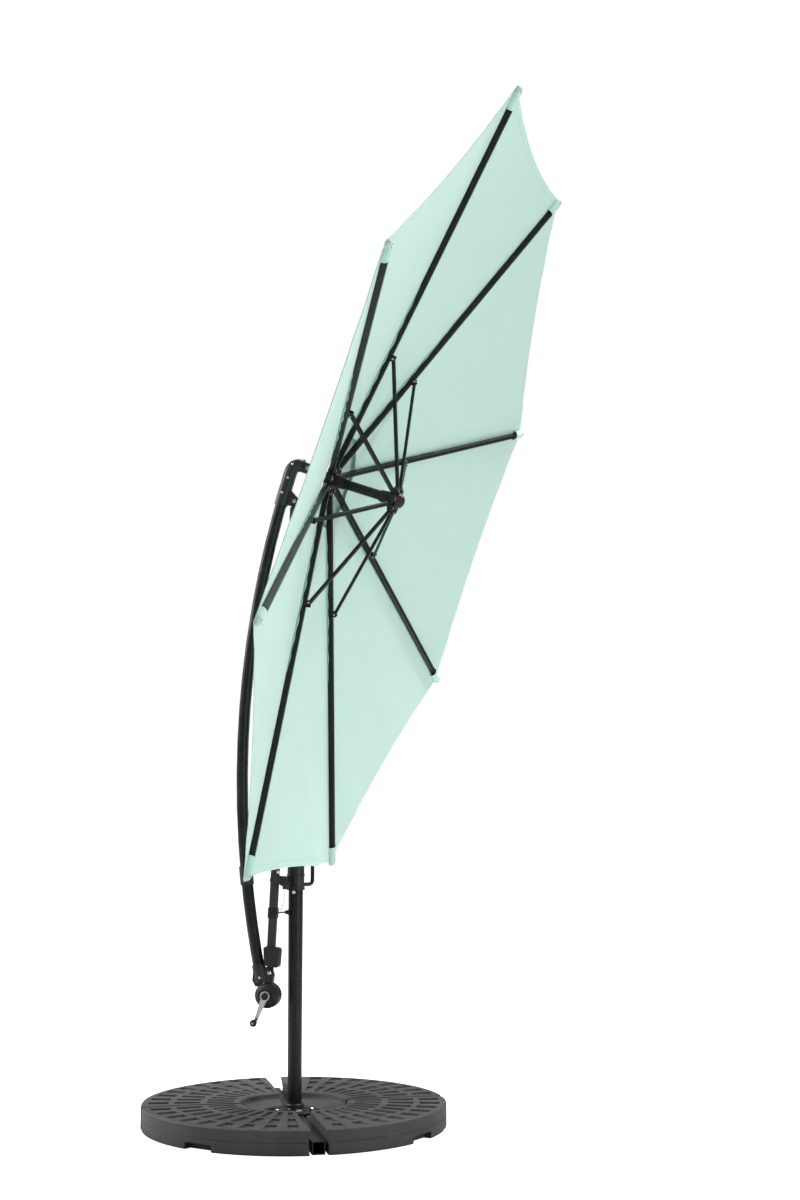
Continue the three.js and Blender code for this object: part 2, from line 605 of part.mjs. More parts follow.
// A point of the canopy's outer face: gore i, s from rib i (0) to rib i + 1 (1).
function clothPoint(i, s, reach, offset) {
  const inCurve = 4 * s * (1 - s);
  const hem = TIP_RADIUS * (1 - HEM_CURVE * inCurve);
  const radius = Math.min(reach, hem);
  const [a, b] = [ribAngle(i), ribAngle(i + 1)];
  const x = radius * (Math.cos(a) * (1 - s) + Math.cos(b) * s);
  const y = radius * (Math.sin(a) * (1 - s) + Math.sin(b) * s);
  const along = THREE.MathUtils.clamp((radius - BULGE_FROM) / (hem - BULGE_FROM), 0, 1);
  const bulge = i === 4 ? BULGE * Math.sin(Math.PI * s) ** 3 * along ** 1.3 : 0;
  return [x, y, offset - (radius - RING_RADIUS) * Math.tan(RIB_SLOPE) - bulge];
}

// A thin sheet from radius inner to radius outer all round the ribs, open at the hub.
function clothRing(inner, outer, offset, rows, perGore) {
  const columns = RIB_COUNT * perGore;
  const points = [];
  for (const drop of [0, FABRIC]) {
    for (let row = 0; row <= rows; row++) {
      for (let column = 0; column < columns; column++) {
        const [gore, s] = [Math.floor(column / perGore), (column % perGore) / perGore];
        const hem = Math.min(outer, TIP_RADIUS) * (1 - HEM_CURVE * 4 * s * (1 - s));
        points.push(...clothPoint(gore, s, inner + ((hem - inner) * row) / rows, offset - drop));
      }
    }
  }
  const faces = [];
  const at = (side, row, column) => (side * (rows + 1) + row) * columns + (column % columns);
  const quad = (a, b, c, d) => faces.push(a, b, c, a, c, d);
  for (let column = 0; column < columns; column++) {
    const next = column + 1;
    for (let row = 0; row < rows; row++) {
      quad(at(0, row, column), at(0, row + 1, column), at(0, row + 1, next), at(0, row, next));
      quad(at(1, row, column), at(1, row, next), at(1, row + 1, next), at(1, row + 1, column));
    }
    quad(at(0, rows, column), at(1, rows, column), at(1, rows, next), at(0, rows, next));
    quad(at(0, 0, column), at(0, 0, next), at(1, 0, next), at(1, 0, column));
  }
  const geometry = new THREE.BufferGeometry();
  geometry.setAttribute('position', new THREE.Float32BufferAttribute(points, 3));
  geometry.setIndex(faces);
  return geometry;
}

function makeCanopy() {
  const canopy = new THREE.Group();
  canopy.position.set(HUB[0], ARM_Y, HUB[1]);
  canopy.rotation.y = HUB_TURN;
  canopy.add(piece('crown_hub', crownHub(), casting));
  canopy.add(piece('crown_neck', crownNeck(), casting));
  canopy.add(piece('runner_hub', runnerHub(), casting));
  const tube = turned([
    [TUBE_RADIUS, runnerZ + 12], [TUBE_RADIUS, -40], [TUBE_RADIUS - 2, -40], [TUBE_RADIUS - 2, runnerZ + 12],
  ]);
  canopy.add(piece('centre_tube', tube, coat));
  const [ribShape, stretcherShape] = [rib(), stretcher()];
  for (let i = 0; i < RIB_COUNT; i++) {
    const spoke = new THREE.Group();
    spoke.rotation.z = ribAngle(i);
    const ribMesh = piece(`rib_${i + 1}`, ribShape, coat);
    ribMesh.position.x = RING_RADIUS;
    ribMesh.rotation.y = RIB_SLOPE;
    const stretcherMesh = piece(`stretcher_${i + 1}`, stretcherShape, coat);
    stretcherMesh.position.set(jointRadius, 0, jointZ);
    stretcherMesh.rotation.y = Math.PI - stretcherSlope;
    spoke.add(ribMesh, stretcherMesh);
    canopy.add(spoke);
  }
  const lift = RIB_HALF_DEPTH / Math.cos(RIB_SLOPE) + 2 + FABRIC;
  canopy.add(piece('canopy', clothRing(VENT_HOLE, TIP_RADIUS, lift, 5, 6), cloth));
  canopy.add(piece('vent_cap', clothRing(68, 330, lift + 20, 3, 2), cloth));
  return canopy;
}

const umbrella = new THREE.Group();
umbrella.add(makeBase(), makeMast(), makeHead(), makeArm(), makeCanopy());

export default umbrella;
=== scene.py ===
import json
import math

import bmesh
import bpy
from mathutils import Matrix, Vector


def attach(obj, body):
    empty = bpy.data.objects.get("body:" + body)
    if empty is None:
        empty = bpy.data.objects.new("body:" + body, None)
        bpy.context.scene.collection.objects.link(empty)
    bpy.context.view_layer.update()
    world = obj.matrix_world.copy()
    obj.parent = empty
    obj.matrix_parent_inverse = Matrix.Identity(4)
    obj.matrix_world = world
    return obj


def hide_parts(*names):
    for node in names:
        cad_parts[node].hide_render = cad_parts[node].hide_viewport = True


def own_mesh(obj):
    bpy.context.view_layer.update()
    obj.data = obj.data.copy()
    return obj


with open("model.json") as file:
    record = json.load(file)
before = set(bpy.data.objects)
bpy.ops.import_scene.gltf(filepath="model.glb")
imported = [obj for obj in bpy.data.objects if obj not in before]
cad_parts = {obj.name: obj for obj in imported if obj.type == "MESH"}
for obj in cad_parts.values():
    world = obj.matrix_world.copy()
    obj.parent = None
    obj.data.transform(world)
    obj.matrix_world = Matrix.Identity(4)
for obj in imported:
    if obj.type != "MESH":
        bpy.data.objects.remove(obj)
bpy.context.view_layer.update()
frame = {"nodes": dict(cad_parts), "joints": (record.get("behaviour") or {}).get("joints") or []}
scene = bpy.context.scene
nodes = frame["nodes"]
joints = {joint["name"]: joint for joint in frame["joints"]}

# ---- studio: camera, floor and light ----
# The umbrella stands on a pale studio floor that runs out into white, under an even white sky,
# with a tall soft panel on either side, a square one overhead and one behind to the left.
lens = bpy.data.cameras.new("studio_camera")
lens.lens = 52.45
lens.sensor_width = 36.0
camera = bpy.data.objects.new("studio_camera", lens)
camera.location = (1.549, -5.693, 1.101)
camera.rotation_euler = (math.radians(96.12), 0.0, math.radians(11.85))
scene.collection.objects.link(camera)
scene.camera = camera
scene.view_settings.view_transform = "Standard"

sky = bpy.data.worlds.new("studio_sky")
sky.use_nodes = True
glow = sky.node_tree.nodes["Background"]
glow.inputs["Color"].default_value = (1.0, 1.0, 1.0, 1.0)
seen_sky = sky.node_tree.nodes.new("ShaderNodeBackground")
seen_sky.inputs["Color"].default_value = (1.0, 1.0, 1.0, 1.0)
glow.inputs["Strength"].default_value = 0.25
seen_sky.inputs["Strength"].default_value = 1.0
sky_mix = sky.node_tree.nodes.new("ShaderNodeMixShader")
seen = sky.node_tree.nodes.new("ShaderNodeLightPath").outputs["Is Camera Ray"]
sky.node_tree.links.new(seen, sky_mix.inputs["Fac"])
sky.node_tree.links.new(glow.outputs[0], sky_mix.inputs[1])
sky.node_tree.links.new(seen_sky.outputs[0], sky_mix.inputs[2])
sky.node_tree.links.new(sky_mix.outputs[0], sky.node_tree.nodes["World Output"].inputs["Surface"])
scene.world = sky

(floor_reach, floor_height) = (60.0, -0.001)
floor_ways = ((-1, -1), (1, -1), (1, 1), (-1, 1))
floor_corners = [(x * floor_reach, y * floor_reach, floor_height) for x, y in floor_ways]
floor_mesh = bpy.data.meshes.new("studio_floor")
floor_mesh.from_pydata(floor_corners, [], [(0, 1, 2, 3)])
studio_floor = bpy.data.objects.new("studio_floor", floor_mesh)
scene.collection.objects.link(studio_floor)
floor_paint = bpy.data.materials.new("pale_floor")
floor_paint.use_nodes = True
floor_look = floor_paint.node_tree.nodes["Principled BSDF"]
floor_look.inputs["Base Color"].default_value = (0.60, 0.60, 0.60, 1.0)
floor_look.inputs["Roughness"].default_value = 0.9
floor_look.inputs["Emission Color"].default_value = (1.0, 1.0, 1.0, 1.0)
seen_floor = floor_paint.node_tree.nodes.new("ShaderNodeMath")
seen_floor.operation = "MULTIPLY"
seen_floor.inputs[1].default_value = 0.97
camera_rays = floor_paint.node_tree.nodes.new("ShaderNodeLightPath").outputs["Is Camera Ray"]
floor_paint.node_tree.links.new(camera_rays, seen_floor.inputs[0])
floor_paint.node_tree.links.new(seen_floor.outputs[0], floor_look.inputs["Emission Strength"])
floor_mesh.materials.append(floor_paint)


def soft_panel(name, place, aim, size, power):
    light = bpy.data.lights.new(name, "AREA")
    light.shape = "RECTANGLE"
    light.size, light.size_y = size
    light.energy = power
    panel = bpy.data.objects.new(name, light)
    panel.location = place
    panel.rotation_euler = (Vector(aim) - Vector(place)).to_track_quat("-Z", "Y").to_euler()
    scene.collection.objects.link(panel)


soft_panel("right_panel", (5.0, -2.0, 2.2), (0.2, 0.0, 1.3), (0.6, 3.4), 125)
soft_panel("left_panel", (-3.8, -2.4, 3.0), (0.0, 0.0, 1.6), (0.5, 3.4), 100)
soft_panel("top_panel", (1.0, 1.9, 5.4), (0.1, 0.0, 0.3), (2.4, 2.4), 560)
soft_panel("back_panel", (-4.5, 0.8, 3.2), (0.0, 0.0, 1.9), (1.2, 2.4), 240)

# ---- base weights ----
# Four quarter plates of blow-moulded resin lie on the crossed legs, each with three rings of
# moulded cells in its top, a hand recess round the post, a parting line and a notch to lift it by.
base_turn = Matrix.Rotation(math.radians(24.0), 3, "Z")
(plate_top, plate_rim) = (0.076, 0.500)
(dish_floor, dish_edge) = (0.0485, 0.180)
(parting_height, parting_depth) = (0.0382, 0.0012)
cell_rings = ((0.200, 0.287), (0.309, 0.392), (0.411, 0.477))
(cells_across, cell_share, cell_depth, wall_slope) = (9, 0.53, 0.0060, 0.0012)
(leg_side, seam_side, corner_round) = (0.0245, 0.0090, 0.012)
leg_room = (1.02, 0.044, 0.084)
lift_notch = (0.062, 0.104, 0.046)


def noise_node(tree, vector, scale, detail, roughness=0.5):
    node = tree.nodes.new("ShaderNodeTexNoise")
    node.inputs["Scale"].default_value = scale
    node.inputs["Detail"].default_value = detail
    node.inputs["Roughness"].default_value = roughness
    tree.links.new(vector, node.inputs["Vector"])
    return node.outputs["Fac"]


def maths(tree, kind, first, second, clamp=False):
    node = tree.nodes.new("ShaderNodeMath")
    node.operation = kind
    node.use_clamp = clamp
    for socket, value in zip(node.inputs, (first, second)):
        if isinstance(value, (int, float)):
            socket.default_value = value
        else:
            tree.links.new(value, socket)
    return node.outputs[0]


def spread(tree, value, low, high):
    node = tree.nodes.new("ShaderNodeMapRange")
    node.inputs["From Min"].default_value = low
    node.inputs["From Max"].default_value = high
    tree.links.new(value, node.inputs["Value"])
    return node.outputs["Result"]


# Three masks for every moulded, cast or coated surface: a fine grain, light scuffs drawn out
# across the piece, and a broad mottle.
surface_grain = bpy.data.node_groups.new("surface_grain", "ShaderNodeTree")
surface_grain.interface.new_socket("Vector", in_out="INPUT", socket_type="NodeSocketVector")
surface_grain.interface.new_socket("Scale", in_out="INPUT", socket_type="NodeSocketFloat")
for output_name in ("Grain", "Scuff", "Mottle"):
    surface_grain.interface.new_socket(output_name, in_out="OUTPUT", socket_type="NodeSocketFloat")
grain_in = surface_grain.nodes.new("NodeGroupInput")
grain_out = surface_grain.nodes.new("NodeGroupOutput")
grain_size = surface_grain.nodes.new("ShaderNodeVectorMath")
grain_size.operation = "SCALE"
surface_grain.links.new(grain_in.outputs["Vector"], grain_size.inputs[0])
surface_grain.links.new(grain_in.outputs["Scale"], grain_size.inputs["Scale"])
fine = noise_node(surface_grain, grain_size.outputs[0], 1.0, 3.0)
surface_grain.links.new(fine, grain_out.inputs["Grain"])
stretched = surface_grain.nodes.new("ShaderNodeVectorMath")
stretched.operation = "MULTIPLY"
stretched.inputs[1].default_value = (9.0, 9.0, 70.0)
surface_grain.links.new(grain_in.outputs["Vector"], stretched.inputs[0])
scratch = noise_node(surface_grain, stretched.outputs[0], 1.0, 5.0, 0.7)
surface_grain.links.new(spread(surface_grain, scratch, 0.60, 0.74), grain_out.inputs["Scuff"])
patch = noise_node(surface_grain, grain_in.outputs["Vector"], 7.0, 3.0, 0.6)
surface_grain.links.new(spread(surface_grain, patch, 0.3, 0.7), grain_out.inputs["Mottle"])


# grain is (scale, depth in metres) and wear is (share of scuffs, share of mottle).
def hard_finish(name, colour, scuffed, roughness, metallic, grain, wear):
    material = bpy.data.materials.new(name)
    material.use_nodes = True
    tree = material.node_tree
    shader = tree.nodes["Principled BSDF"]
    shader.inputs["Metallic"].default_value = metallic
    shader.inputs["Specular IOR Level"].default_value = 0.3 if metallic < 1.0 else 0.5
    place = tree.nodes.new("ShaderNodeTexCoord").outputs["Object"]
    group = tree.nodes.new("ShaderNodeGroup")
    group.node_tree = surface_grain
    group.inputs["Scale"].default_value = grain[0]
    tree.links.new(place, group.inputs["Vector"])
    blend = tree.nodes.new("ShaderNodeMix")
    blend.data_type = "RGBA"
    blend.inputs["A"].default_value = (*colour, 1.0)
    blend.inputs["B"].default_value = (*scuffed, 1.0)
    worn = maths(tree, "MULTIPLY", group.outputs["Scuff"], wear[0])
    dusty = maths(tree, "MULTIPLY", group.outputs["Mottle"], wear[1])
    tree.links.new(maths(tree, "ADD", worn, dusty, clamp=True), blend.inputs["Factor"])
    tree.links.new(blend.outputs["Result"], shader.inputs["Base Color"])
    rough = maths(tree, "MULTIPLY", group.outputs["Mottle"], 0.10)
    tree.links.new(maths(tree, "ADD", rough, roughness, clamp=True), shader.inputs["Roughness"])
    bump = tree.nodes.new("ShaderNodeBump")
    bump.inputs["Strength"].default_value = 0.35
    bump.inputs["Distance"].default_value = grain[1]
    tree.links.new(group.outputs["Grain"], bump.inputs["Height"])
    tree.links.new(bump.outputs["Normal"], shader.inputs["Normal"])
    return material


def new_piece(name, vertices, faces, material, body):
    mesh = bpy.data.meshes.new(name)
    mesh.from_pydata([tuple(v) for v in vertices], [], faces)
    piece = bpy.data.objects.new(name, mesh)
    scene.collection.objects.link(piece)
    mesh.materials.append(material)
    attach(piece, body)
    return piece


resin = hard_finish(
    "weight_resin", (0.036, 0.037, 0.038), (0.09, 0.09, 0.09),
    roughness=0.58, metallic=0.0, grain=(900.0, 0.0006), wear=(0.30, 0.30))


# Rows of (radius, height, inside a cell) from the bore, over the dish and the top, to the rim.
def plate_profile():
    rows = [(0.103, 0.0, 0), (0.1005, 0.003, 0), (0.1005, 0.040, 0), (0.104, 0.0455, 0)]
    rows += [(0.130, dish_floor, 0), (0.160, 0.0515, 0), (0.168, 0.0545, 0), (0.172, 0.0605, 0)]
    rows += [(0.1755, 0.072, 0), (dish_edge, plate_top, 0)]
    for near, far in cell_rings:
        rows += [(near, plate_top, 0), (near + wall_slope, plate_top, 1)]
        rows += [(far - wall_slope, plate_top, 1), (far, plate_top, 0)]
    rows += [(0.494, plate_top, 0), (0.4975, 0.0752, 0), (0.4995, 0.0725, 0), (plate_rim, 0.068, 0)]
    rows += [(plate_rim, parting_height + 0.001, 0), (plate_rim - parting_depth, parting_height, 0)]
    rows += [(plate_rim, parting_height - 0.001, 0), (plate_rim, 0.004, 0), (0.497, 0.0, 0)]
    return rows


# Columns of (share of the plate's sweep, inside a cell) from the seam to the leg channel.
def plate_columns():
    columns = [(0.0, 0), (0.004, 0), (0.012, 0)]
    pitch = (1.0 - 0.03) / cells_across
    for cell in range(cells_across):
        start = 0.015 + (cell + 0.5 - cell_share / 2) * pitch
        stop = start + cell_share * pitch
        columns += [(start, 0), (start + 0.0030, 1), ((start + stop) / 2, 1), (stop - 0.0030, 1), (stop, 0)]
    return columns + [(0.988, 0), (0.996, 0), (1.0, 0)]


def weight_plate(name, sign_x, sign_y):
    rows, columns = plate_profile(), plate_columns()
    vertices, faces = [], []
    for radius, height, sunk_row in rows:
        rounding = corner_round * max(0.0, (radius - 0.492) / 0.008) ** 2
        first = math.asin((seam_side + rounding) / radius)
        last = math.acos((leg_side + rounding) / radius)
        for share, sunk_column in columns:
            angle = first + (last - first) * share
            drop = cell_depth if sunk_row and sunk_column else 0.0
            if height > 0.07:
                drop += {0.0: 0.0030, 0.996: 0.0008, 1.0: 0.0035}.get(share, 0.0)
            (x, y) = (radius * math.cos(angle), radius * math.sin(angle))
            vertices.append((sign_x * x, sign_y * y, height - drop))
    wide = len(columns)
    deep = len(rows)
    for row in range(deep):
        after = (row + 1) % deep
        for column in range(wide - 1):
            (here, there) = (row * wide + column, after * wide + column)
            faces.append((here, here + 1, there + 1, there))
    faces.append(tuple(row * wide for row in range(deep)))
    faces.append(tuple(row * wide + wide - 1 for row in range(deep)))
    plate = new_piece(name + "_moulding", vertices, faces, resin, "base")
    shape = bmesh.new()
    shape.from_mesh(plate.data)
    bmesh.ops.triangulate(shape, faces=[f for f in shape.faces if len(f.verts) > 4])
    bmesh.ops.recalc_face_normals(shape, faces=shape.faces)
    shape.to_mesh(plate.data)
    shape.free()
    notch_way = math.atan2(sign_y, sign_x)
    notch_place = (plate_rim * math.cos(notch_way), plate_rim * math.sin(notch_way), 0.0)
    for size, centre, turn in ((leg_room, (0.0, 0.0, 0.0), 0.0), (lift_notch, notch_place, notch_way)):
        cutter_mesh = bpy.data.meshes.new("room")
        room = bmesh.new()
        bmesh.ops.create_cube(room, size=1.0)
        bmesh.ops.scale(room, vec=size, verts=room.verts)
        bmesh.ops.bevel(room, geom=room.edges, offset=0.006, segments=3, affect="EDGES", profile=0.5)
        placed = Matrix.Translation(centre) @ Matrix.Rotation(turn, 4, "Z")
        bmesh.ops.transform(room, matrix=placed, verts=room.verts)
        room.to_mesh(cutter_mesh)
        room.free()
        cutter = bpy.data.objects.new("room", cutter_mesh)
        scene.collection.objects.link(cutter)
        carve = plate.modifiers.new("room", "BOOLEAN")
        carve.operation = "DIFFERENCE"
        carve.solver = "EXACT"
        carve.object = cutter
        carved = bpy.data.meshes.new_from_object(plate.evaluated_get(bpy.context.evaluated_depsgraph_get()))
        plate.modifiers.clear()
        plate.data = carved
        bpy.data.objects.remove(cutter)
    plate.data.transform(base_turn.to_4x4())
    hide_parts(name)


for number, (sign_x, sign_y) in enumerate(((1, 1), (-1, 1), (-1, -1), (1, -1)), 1):
    weight_plate(f"base_weight_{number}", sign_x, sign_y)

# ---- crossed legs and foot ----
# Two square steel tubes cross under the plates, powder coated, and a spun bell flange is
# bolted where they meet, with a plated spigot up inside the post.
charcoal = hard_finish(
    "charcoal_coat", (0.010, 0.0105, 0.0115), (0.045, 0.045, 0.045),
    roughness=0.22, metallic=0.2, grain=(1600.0, 0.00002), wear=(0.05, 0.25))
zinc = hard_finish(
    "zinc_plate", (0.60, 0.61, 0.62), (0.42, 0.42, 0.43),
    roughness=0.26, metallic=1.0, grain=(700.0, 0.0001), wear=(0.2, 0.5))


def give(material, slot, *names):
    for name in names:
        part = nodes[name]
        part.data.materials.clear()
        part.data.materials.append(material)


give(charcoal, "charcoal_coat", "leg_long", "leg_cross", "foot_flange")
give(zinc, "zinc_plate", "foot_spigot", "foot_bolt_1", "foot_bolt_2")

# ---- post ----
# A round powder-coated steel tube with a moulded cap and a foot collar,
# and a white nylon button that stops the sliding head.
black_plastic = hard_finish(
    "black_plastic", (0.012, 0.012, 0.013), (0.05, 0.05, 0.05),
    roughness=0.36, metallic=0.0, grain=(1100.0, 0.00008), wear=(0.05, 0.3))
nylon = hard_finish(
    "white_nylon", (0.82, 0.82, 0.80), (0.6, 0.6, 0.58),
    roughness=0.38, metallic=0.0, grain=(900.0, 0.0001), wear=(0.1, 0.2))
give(charcoal, "charcoal_coat", "mast")
give(black_plastic, "black_plastic", "mast_cap", "mast_collar")
give(nylon, "white_nylon", "stop_button")

# ---- sliding head and arm ----
# Painted castings hold the tubes: the head's sleeve and clevis, the brackets at the bow's ends
# and the elbow, with a flat bar strut between them and a rubber pad that meets the post.
casting = hard_finish(
    "painted_casting", (0.015, 0.0155, 0.0165), (0.06, 0.06, 0.06),
    roughness=0.34, metallic=0.1, grain=(520.0, 0.00015), wear=(0.06, 0.3))
bar_coat = hard_finish(
    "flat_bar_coat", (0.026, 0.026, 0.028), (0.06, 0.06, 0.06),
    roughness=0.42, metallic=0.1, grain=(1600.0, 0.00004), wear=(0.05, 0.2))
rubber = hard_finish(
    "black_rubber", (0.016, 0.016, 0.016), (0.05, 0.05, 0.05),
    roughness=0.75, metallic=0.0, grain=(1400.0, 0.0004), wear=(0.1, 0.3))
give(casting, "cast_metal", "slide_sleeve", "arm_joint_collar", "elbow", "sleeve_bracket", "lower_bracket")
give(charcoal, "charcoal_coat", "grip_handle", "arm_lower_tube", "arm_upper_tube", "bumper_clip")
give(bar_coat, "charcoal_coat", "strut")
give(black_plastic, "black_plastic", "strut_collar", "pivot_bolt")
give(rubber, "black_rubber", "bumper_pad")
give(zinc, "zinc_plate", "pivot_nut", "strut_top_bolt", "strut_foot_bolt", "tilt_bolt")

# ---- winch ----
# A domed painted housing over the cord drum, a bright forged crank and a black turning knob.
give(casting, "cast_metal", "winch_housing", "winch_cover")
give(zinc, "zinc_plate", "winch_drum", "crank_arm")
give(black_plastic, "black_plastic", "crank_cap", "crank_knob")

# ---- crown, runner and ribs ----
# Moulded hubs with a slot for every rib and stretcher, a coated centre tube, and ribs and
# stretchers of thin black-coated steel section.
rib_coat = hard_finish(
    "rib_coat", (0.007, 0.0075, 0.008), (0.035, 0.035, 0.035),
    roughness=0.26, metallic=0.2, grain=(1500.0, 0.00003), wear=(0.05, 0.25))
give(black_plastic, "black_plastic", "crown_hub", "runner_hub")
give(casting, "cast_metal", "crown_neck")
give(charcoal, "charcoal_coat", "centre_tube")
for number in range(1, 9):
    give(rib_coat, "rib_coat", f"rib_{number}", f"stretcher_{number}")

# ---- canopy cloth ----
# One plain-woven canvas canopy of eight gores, sewn along the ribs, hemmed all round and open
# under the vent. It is modelled as a strip for each rib, meeting its neighbours mid-gore, so
# that the cloth gathers to the ribs as they fold.
(stitch_pitch, hem_fold_at, hem_stitch_at) = (1050.0, 0.0225, 0.0190)
(felled_seam_at, seam_stitch_at) = (0.0115, 0.0170)
weave = bpy.data.node_groups.new("canvas_weave", "ShaderNodeTree")
weave.interface.new_socket("Vector", in_out="INPUT", socket_type="NodeSocketVector")
weave.interface.new_socket("Threads", in_out="INPUT", socket_type="NodeSocketFloat")
weave.interface.new_socket("Height", in_out="OUTPUT", socket_type="NodeSocketFloat")
weave.interface.new_socket("Slub", in_out="OUTPUT", socket_type="NodeSocketFloat")
weave_in = weave.nodes.new("NodeGroupInput")
weave_out = weave.nodes.new("NodeGroupOutput")
thread_count = weave.nodes.new("ShaderNodeVectorMath")
thread_count.operation = "SCALE"
weave.links.new(weave_in.outputs["Vector"], thread_count.inputs[0])
weave.links.new(weave_in.outputs["Threads"], thread_count.inputs["Scale"])
thread_axes = weave.nodes.new("ShaderNodeSeparateXYZ")
weave.links.new(thread_count.outputs[0], thread_axes.inputs[0])
warp = maths(weave, "SINE", maths(weave, "MULTIPLY", thread_axes.outputs["X"], math.pi), 0.0)
weft = maths(weave, "SINE", maths(weave, "MULTIPLY", thread_axes.outputs["Y"], math.pi), 0.0)
crossing = maths(weave, "MULTIPLY", warp, weft)
weave.links.new(maths(weave, "MULTIPLY_ADD", crossing, 0.5), weave_out.inputs["Height"])
slub_stretch = weave.nodes.new("ShaderNodeVectorMath")
slub_stretch.operation = "MULTIPLY"
slub_stretch.inputs[1].default_value = (180.0, 9.0, 1.0)
weave.links.new(weave_in.outputs["Vector"], slub_stretch.inputs[0])
weave.links.new(noise_node(weave, slub_stretch.outputs[0], 1.0, 2.0), weave_out.inputs["Slub"])


# 1 along a line and 0 outside its half width; then a broken line of stitches along a value.
def band(tree, value, centre, half_width):
    away = maths(tree, "ABSOLUTE", maths(tree, "SUBTRACT", value, centre), 0.0)
    return maths(tree, "SUBTRACT", 1.0, maths(tree, "DIVIDE", away, half_width), clamp=True)


def stitches(tree, along):
    wave = maths(tree, "SINE", maths(tree, "MULTIPLY", along, stitch_pitch), 0.0)
    return spread(tree, wave, -0.4, 0.0)


def canvas(name, colour, deep, seams):
    material = bpy.data.materials.new(name)
    material.use_nodes = True
    tree = material.node_tree
    shader = tree.nodes["Principled BSDF"]
    shader.inputs["Roughness"].default_value = 0.88
    shader.inputs["Sheen Weight"].default_value = 0.15
    shader.inputs["Sheen Roughness"].default_value = 0.5
    lay = tree.nodes.new("ShaderNodeUVMap")
    lay.uv_map = "lay"
    threads = tree.nodes.new("ShaderNodeGroup")
    threads.node_tree = weave
    threads.inputs["Threads"].default_value = 900.0
    tree.links.new(lay.outputs["UV"], threads.inputs["Vector"])
    wide = noise_node(tree, lay.outputs["UV"], 3.0, 3.0, 0.55)
    dark = maths(tree, "MULTIPLY", threads.outputs["Slub"], 0.10)
    dark = maths(tree, "ADD", dark, maths(tree, "MULTIPLY", wide, 0.14), clamp=True)
    height = maths(tree, "MULTIPLY", threads.outputs["Height"], 0.5)
    if seams:
        across = tree.nodes.new("ShaderNodeSeparateXYZ")
        tree.links.new(lay.outputs["UV"], across.inputs[0])
        side = maths(tree, "ABSOLUTE", across.outputs["X"], 0.0)
        edge_map = tree.nodes.new("ShaderNodeUVMap")
        edge_map.uv_map = "edge"
        edge = tree.nodes.new("ShaderNodeSeparateXYZ")
        tree.links.new(edge_map.outputs["UV"], edge.inputs[0])
        dashes = stitches(tree, across.outputs["Y"])
        hem_dashes = stitches(tree, edge.outputs["Y"])
        # Painted shade: the felled seam's groove and the hem's fold line are darkened in the base colour as
        # well as sunk by the bump, while the stitch dashes darken as thread.
        felled = band(tree, side, felled_seam_at, 0.0016)
        stitched = maths(tree, "MULTIPLY", band(tree, side, seam_stitch_at, 0.0007), dashes)
        hem_fold = band(tree, edge.outputs["X"], hem_fold_at, 0.0014)
        hem_line = band(tree, edge.outputs["X"], hem_stitch_at, 0.0007)
        hem_stitch = maths(tree, "MULTIPLY", hem_line, hem_dashes)
        painted_hem_fold_shade = maths(tree, "MULTIPLY", hem_fold, 0.35)
        painted_seam_shade = maths(tree, "ADD", maths(tree, "MULTIPLY", felled, 0.55), painted_hem_fold_shade)
        thread = maths(tree, "ADD", stitched, hem_stitch, clamp=True)
        seam_shade_and_thread = maths(tree, "ADD", painted_seam_shade, maths(tree, "MULTIPLY", thread, 0.3))
        dark = maths(tree, "ADD", dark, seam_shade_and_thread, clamp=True)
        height = maths(tree, "SUBTRACT", height, maths(tree, "ADD", felled, hem_fold))
    tone = tree.nodes.new("ShaderNodeMix")
    tone.data_type = "RGBA"
    tone.inputs["A"].default_value = (*colour, 1.0)
    tone.inputs["B"].default_value = (*deep, 1.0)
    tree.links.new(dark, tone.inputs["Factor"])
    tree.links.new(tone.outputs["Result"], shader.inputs["Base Color"])
    bump = tree.nodes.new("ShaderNodeBump")
    bump.inputs["Strength"].default_value = 0.25
    bump.inputs["Distance"].default_value = 0.0006
    tree.links.new(height, bump.inputs["Height"])
    tree.links.new(bump.outputs["Normal"], shader.inputs["Normal"])
    return material


mint = canvas("mint_canvas", (0.575, 0.790, 0.695), (0.215, 0.470, 0.400), True)
# The rib pockets and tunnels use a slightly darker copy of the same canopy canvas: painted shade where the
# cloth folds round the ribs.
mint_trim_painted_shade = canvas("mint_canvas_trim_painted_shade", (0.540, 0.765, 0.670), (0.200, 0.450, 0.380), False)
fold_names = ["canopy_fold"] + [f"rib_{number}_fold" for number in range(2, 9)]
ring = [Vector(joints[name]["pos_m"]) for name in fold_names]
hub = sum(ring, Vector()) / 8
rays = [(place - hub).normalized() for place in ring]
up_axis = rays[0].cross(rays[2]).normalized()
rib_slope = math.radians(13.26)
(ring_radius, tip_radius, hem_curve, hem_width) = (0.040, 1.378, 0.03, 0.022)
(cloth_lift, vent_lift) = (0.0116, 0.0300)
(bulge_gore, bulge_depth, bulge_peak, bulge_from) = (4, 0.076, 0.44, 0.930)
(hub_slack, hub_slack_at, hub_slack_reach, hub_waves) = (0.0036, 0.36, 0.30, 2.5)
(tip_slack, tip_slack_reach, tip_waves, hem_sag) = (0.0026, 0.34, 6, 0.004)
(cloth_wall, hem_wall, hem_step) = (0.0012, 0.0022, 0.001)
phases = [0.4, 2.1, 3.7, 5.2, 0.9, 2.8, 4.4, 1.5]


